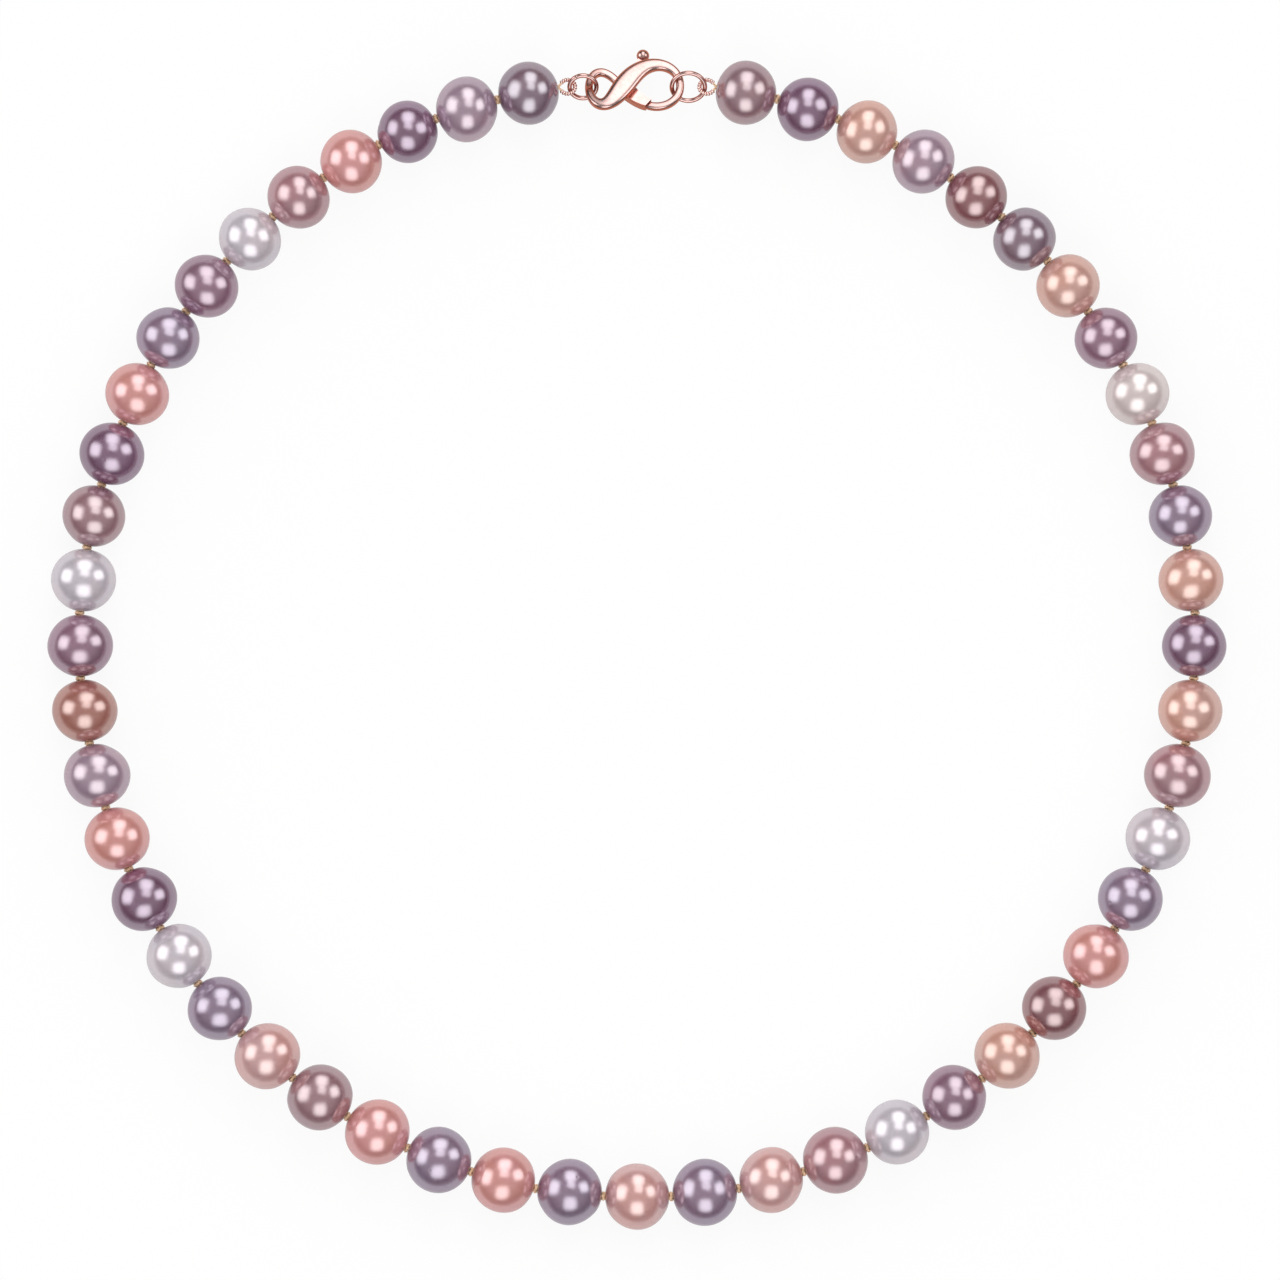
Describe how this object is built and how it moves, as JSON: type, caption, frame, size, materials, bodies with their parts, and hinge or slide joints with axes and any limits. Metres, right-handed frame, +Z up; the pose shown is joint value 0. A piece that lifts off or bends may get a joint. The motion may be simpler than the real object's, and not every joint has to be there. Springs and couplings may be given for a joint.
{
  "type": "pearl necklace",
  "caption": "Knotted strand of round multicoloured pearls lying in a closed loop, joined at the back by a small figure-of-eight spring clasp with a thumb ball.",
  "frame": {"origin": "middle of the loop of pearls, on the surface that it lies on", "axes": "+Z up from that surface, +Y from the middle towards the clasp, +X to the right as the picture shows it"},
  "size_m": [0.1533, 0.1534, 0.0087],
  "materials": {
    "pearl_white": "gloss",
    "pearl_cream": "gloss",
    "pearl_peach": "gloss",
    "pearl_coral": "gloss",
    "pearl_rose": "gloss",
    "pearl_taupe": "gloss",
    "pearl_lavender": "gloss",
    "pearl_mauve": "gloss",
    "pearl_plum": "gloss",
    "silk": "matte",
    "french_wire": "gloss",
    "rose_gold": "polished",
    "spring_steel": "satin"
  },
  "bodies": {
    "front_pearl": {"pearl_26": "pearl_peach", "silk_thread": "silk"},
    "run_24_25": {"pearl_25": "pearl_plum", "pearl_24": "pearl_coral"},
    "run_21_23": {"pearl_23": "pearl_mauve", "pearl_22": "pearl_coral", "pearl_21": "pearl_taupe"},
    "run_18_20": {"pearl_20": "pearl_peach", "pearl_19": "pearl_lavender", "pearl_18": "pearl_white"},
    "run_15_17": {"pearl_17": "pearl_mauve", "pearl_16": "pearl_coral", "pearl_15": "pearl_lavender"},
    "run_12_14": {"pearl_14": "pearl_rose", "pearl_13": "pearl_plum", "pearl_12": "pearl_white"},
    "run_09_11": {"pearl_11": "pearl_taupe", "pearl_10": "pearl_plum", "pearl_09": "pearl_coral"},
    "run_06_08": {"pearl_08": "pearl_lavender", "pearl_07": "pearl_mauve", "pearl_06": "pearl_white"},
    "run_03_05": {"pearl_05": "pearl_rose", "pearl_04": "pearl_coral", "pearl_03": "pearl_plum"},
    "run_01_02": {"pearl_02": "pearl_lavender", "pearl_01": "pearl_lavender"},
    "run_27_28": {"pearl_27": "pearl_lavender", "pearl_28": "pearl_peach"},
    "run_29_31": {"pearl_29": "pearl_rose", "pearl_30": "pearl_white", "pearl_31": "pearl_mauve"},
    "run_32_34": {"pearl_32": "pearl_peach", "pearl_33": "pearl_rose", "pearl_34": "pearl_coral"},
    "run_35_37": {"pearl_35": "pearl_mauve", "pearl_36": "pearl_white", "pearl_37": "pearl_plum"},
    "run_38_40": {"pearl_38": "pearl_peach", "pearl_39": "pearl_mauve", "pearl_40": "pearl_coral"},
    "run_41_43": {"pearl_41": "pearl_lavender", "pearl_42": "pearl_taupe", "pearl_43": "pearl_cream"},
    "run_44_46": {"pearl_44": "pearl_mauve", "pearl_45": "pearl_peach", "pearl_46": "pearl_taupe"},
    "run_47_49": {"pearl_47": "pearl_plum", "pearl_48": "pearl_lavender", "pearl_49": "pearl_peach"},
    "run_50_51": {"pearl_50": "pearl_plum", "pearl_51": "pearl_taupe"},
    "loop_left": {"gimp_left": "french_wire"},
    "loop_right": {"gimp_right": "french_wire"},
    "clasp": {"clasp_body": "rose_gold", "clasp_pivot_pin": "rose_gold", "clasp_spring": "spring_steel"},
    "lever": {"clasp_lever": "rose_gold"},
    "ring_left": {"jump_ring_left": "rose_gold"},
    "ring_right": {"jump_ring_right": "rose_gold"}
  },
  "joints": [
    {"name": "strand_flex", "type": "hinge", "parent": "front_pearl", "child": "run_24_25", "pos_m": [-0.0044, -0.07241, 0.00434], "axis": [0, 0, -1], "range_deg": [-5, 5], "deforming": ["silk_thread"]},
    {"name": "knot_26_bend", "type": "hinge", "parent": "front_pearl", "child": "run_27_28", "pos_m": [0.0044, -0.07241, 0.00434], "axis": [0, 0, 1], "range_deg": [-5.5, 5.5]},
    {"name": "knot_23_bend", "type": "hinge", "parent": "run_24_25", "child": "run_21_23", "pos_m": [-0.02164, -0.06924, 0.00432], "axis": [0, 0, -1], "range_deg": [-7.38, 7.38]},
    {"name": "knot_28_bend", "type": "hinge", "parent": "run_27_28", "child": "run_29_31", "pos_m": [0.02164, -0.06924, 0.00432], "axis": [0, 0, 1], "range_deg": [-7.38, 7.38]},
    {"name": "knot_20_bend", "type": "hinge", "parent": "run_21_23", "child": "run_18_20", "pos_m": [-0.04481, -0.05705, 0.00432], "axis": [0, 0, -1], "range_deg": [-2.88, 2.88]},
    {"name": "knot_31_bend", "type": "hinge", "parent": "run_29_31", "child": "run_32_34", "pos_m": [0.04481, -0.05705, 0.00432], "axis": [0, 0, 1], "range_deg": [-2.88, 2.88]},
    {"name": "knot_17_bend", "type": "hinge", "parent": "run_18_20", "child": "run_15_17", "pos_m": [-0.06206, -0.03757, 0.0043], "axis": [0, 0, -1], "range_deg": [-4.86, 4.86]},
    {"name": "knot_34_bend", "type": "hinge", "parent": "run_32_34", "child": "run_35_37", "pos_m": [0.06206, -0.03757, 0.0043], "axis": [0, 0, 1], "range_deg": [-4.86, 4.86]},
    {"name": "knot_14_bend", "type": "hinge", "parent": "run_15_17", "child": "run_12_14", "pos_m": [-0.07128, -0.0135, 0.00427], "axis": [0, 0, -1], "range_deg": [-10.35, 10.35]},
    {"name": "knot_37_bend", "type": "hinge", "parent": "run_35_37", "child": "run_38_40", "pos_m": [0.07128, -0.0135, 0.00427], "axis": [0, 0, 1], "range_deg": [-10.35, 10.35]},
    {"name": "knot_11_bend", "type": "hinge", "parent": "run_12_14", "child": "run_09_11", "pos_m": [-0.07155, 0.01196, 0.00423], "axis": [0, 0, -1], "range_deg": [-10.82, 10.82]},
    {"name": "knot_40_bend", "type": "hinge", "parent": "run_38_40", "child": "run_41_43", "pos_m": [0.07155, 0.01196, 0.00423], "axis": [0, 0, 1], "range_deg": [-10.82, 10.82]},
    {"name": "knot_08_bend", "type": "hinge", "parent": "run_09_11", "child": "run_06_08", "pos_m": [-0.06317, 0.03567, 0.00419], "axis": [0, 0, -1], "range_deg": [-5.89, 5.89]},
    {"name": "knot_43_bend", "type": "hinge", "parent": "run_41_43", "child": "run_44_46", "pos_m": [0.06317, 0.03567, 0.00419], "axis": [0, 0, 1], "range_deg": [-5.89, 5.89]},
    {"name": "knot_05_bend", "type": "hinge", "parent": "run_06_08", "child": "run_03_05", "pos_m": [-0.04738, 0.05494, 0.00417], "axis": [0, 0, -1], "range_deg": [-2.22, 2.22]},
    {"name": "knot_46_bend", "type": "hinge", "parent": "run_44_46", "child": "run_47_49", "pos_m": [0.04738, 0.05494, 0.00417], "axis": [0, 0, 1], "range_deg": [-2.22, 2.22]},
    {"name": "knot_02_bend", "type": "hinge", "parent": "run_03_05", "child": "run_01_02", "pos_m": [-0.02613, 0.06767, 0.00417], "axis": [0, 0, -1], "range_deg": [-7.76, 7.76]},
    {"name": "knot_49_bend", "type": "hinge", "parent": "run_47_49", "child": "run_50_51", "pos_m": [0.02613, 0.06767, 0.00417], "axis": [0, 0, 1], "range_deg": [-7.76, 7.76]},
    {"name": "loop_left_bend", "type": "hinge", "parent": "run_01_02", "child": "loop_left", "pos_m": [-0.01009, 0.07184, 0.00416], "axis": [0, 0, -1], "range_deg": [-6.18, 6.18]},
    {"name": "loop_right_bend", "type": "hinge", "parent": "run_50_51", "child": "loop_right", "pos_m": [0.01009, 0.07184, 0.00416], "axis": [0, 0, 1], "range_deg": [-6.18, 6.18]},
    {"name": "clasp_roll", "type": "hinge", "parent": "loop_left", "child": "clasp", "pos_m": [0, 0.07184, 0.00416], "axis": [1, 0, 0], "range_deg": [-5, 30]},
    {"name": "ring_left_swing", "type": "hinge", "parent": "clasp", "child": "ring_left", "pos_m": [-0.00705, 0.07184, 0.00416], "axis": [1, 0, 0], "range_deg": [-4, 30]},
    {"name": "ring_right_swing", "type": "hinge", "parent": "clasp", "child": "ring_right", "pos_m": [0.00664, 0.07184, 0.00416], "axis": [1, 0, 0], "range_deg": [-4, 30]},
    {"name": "clasp_lever_pivot", "type": "hinge", "parent": "clasp", "child": "lever", "pos_m": [-0.00152, 0.07175, 0.00422], "axis": [0, 0.5299, 0.848], "range_deg": [0, 26], "stiffness_Nm_per_rad": 0.005, "springref_deg": -11.46, "deforming": ["clasp_spring"]}
  ],
  "couplings": [
    {"joint": "knot_26_bend", "follows": "strand_flex", "ratio": 1},
    {"joint": "knot_23_bend", "follows": "strand_flex", "ratio": 1.3419},
    {"joint": "knot_28_bend", "follows": "strand_flex", "ratio": 1.3419},
    {"joint": "knot_20_bend", "follows": "strand_flex", "ratio": 0.52441},
    {"joint": "knot_31_bend", "follows": "strand_flex", "ratio": 0.52441},
    {"joint": "knot_17_bend", "follows": "strand_flex", "ratio": -0.88444},
    {"joint": "knot_34_bend", "follows": "strand_flex", "ratio": -0.88444},
    {"joint": "knot_14_bend", "follows": "strand_flex", "ratio": -1.8816},
    {"joint": "knot_37_bend", "follows": "strand_flex", "ratio": -1.8816},
    {"joint": "knot_11_bend", "follows": "strand_flex", "ratio": -1.968},
    {"joint": "knot_40_bend", "follows": "strand_flex", "ratio": -1.968},
    {"joint": "knot_08_bend", "follows": "strand_flex", "ratio": -1.07},
    {"joint": "knot_43_bend", "follows": "strand_flex", "ratio": -1.07},
    {"joint": "knot_05_bend", "follows": "strand_flex", "ratio": 0.40292},
    {"joint": "knot_46_bend", "follows": "strand_flex", "ratio": 0.40292},
    {"joint": "knot_02_bend", "follows": "strand_flex", "ratio": 1.4108},
    {"joint": "knot_49_bend", "follows": "strand_flex", "ratio": 1.4108},
    {"joint": "loop_left_bend", "follows": "strand_flex", "ratio": 1.1239},
    {"joint": "loop_right_bend", "follows": "strand_flex", "ratio": 1.1239}
  ]
}
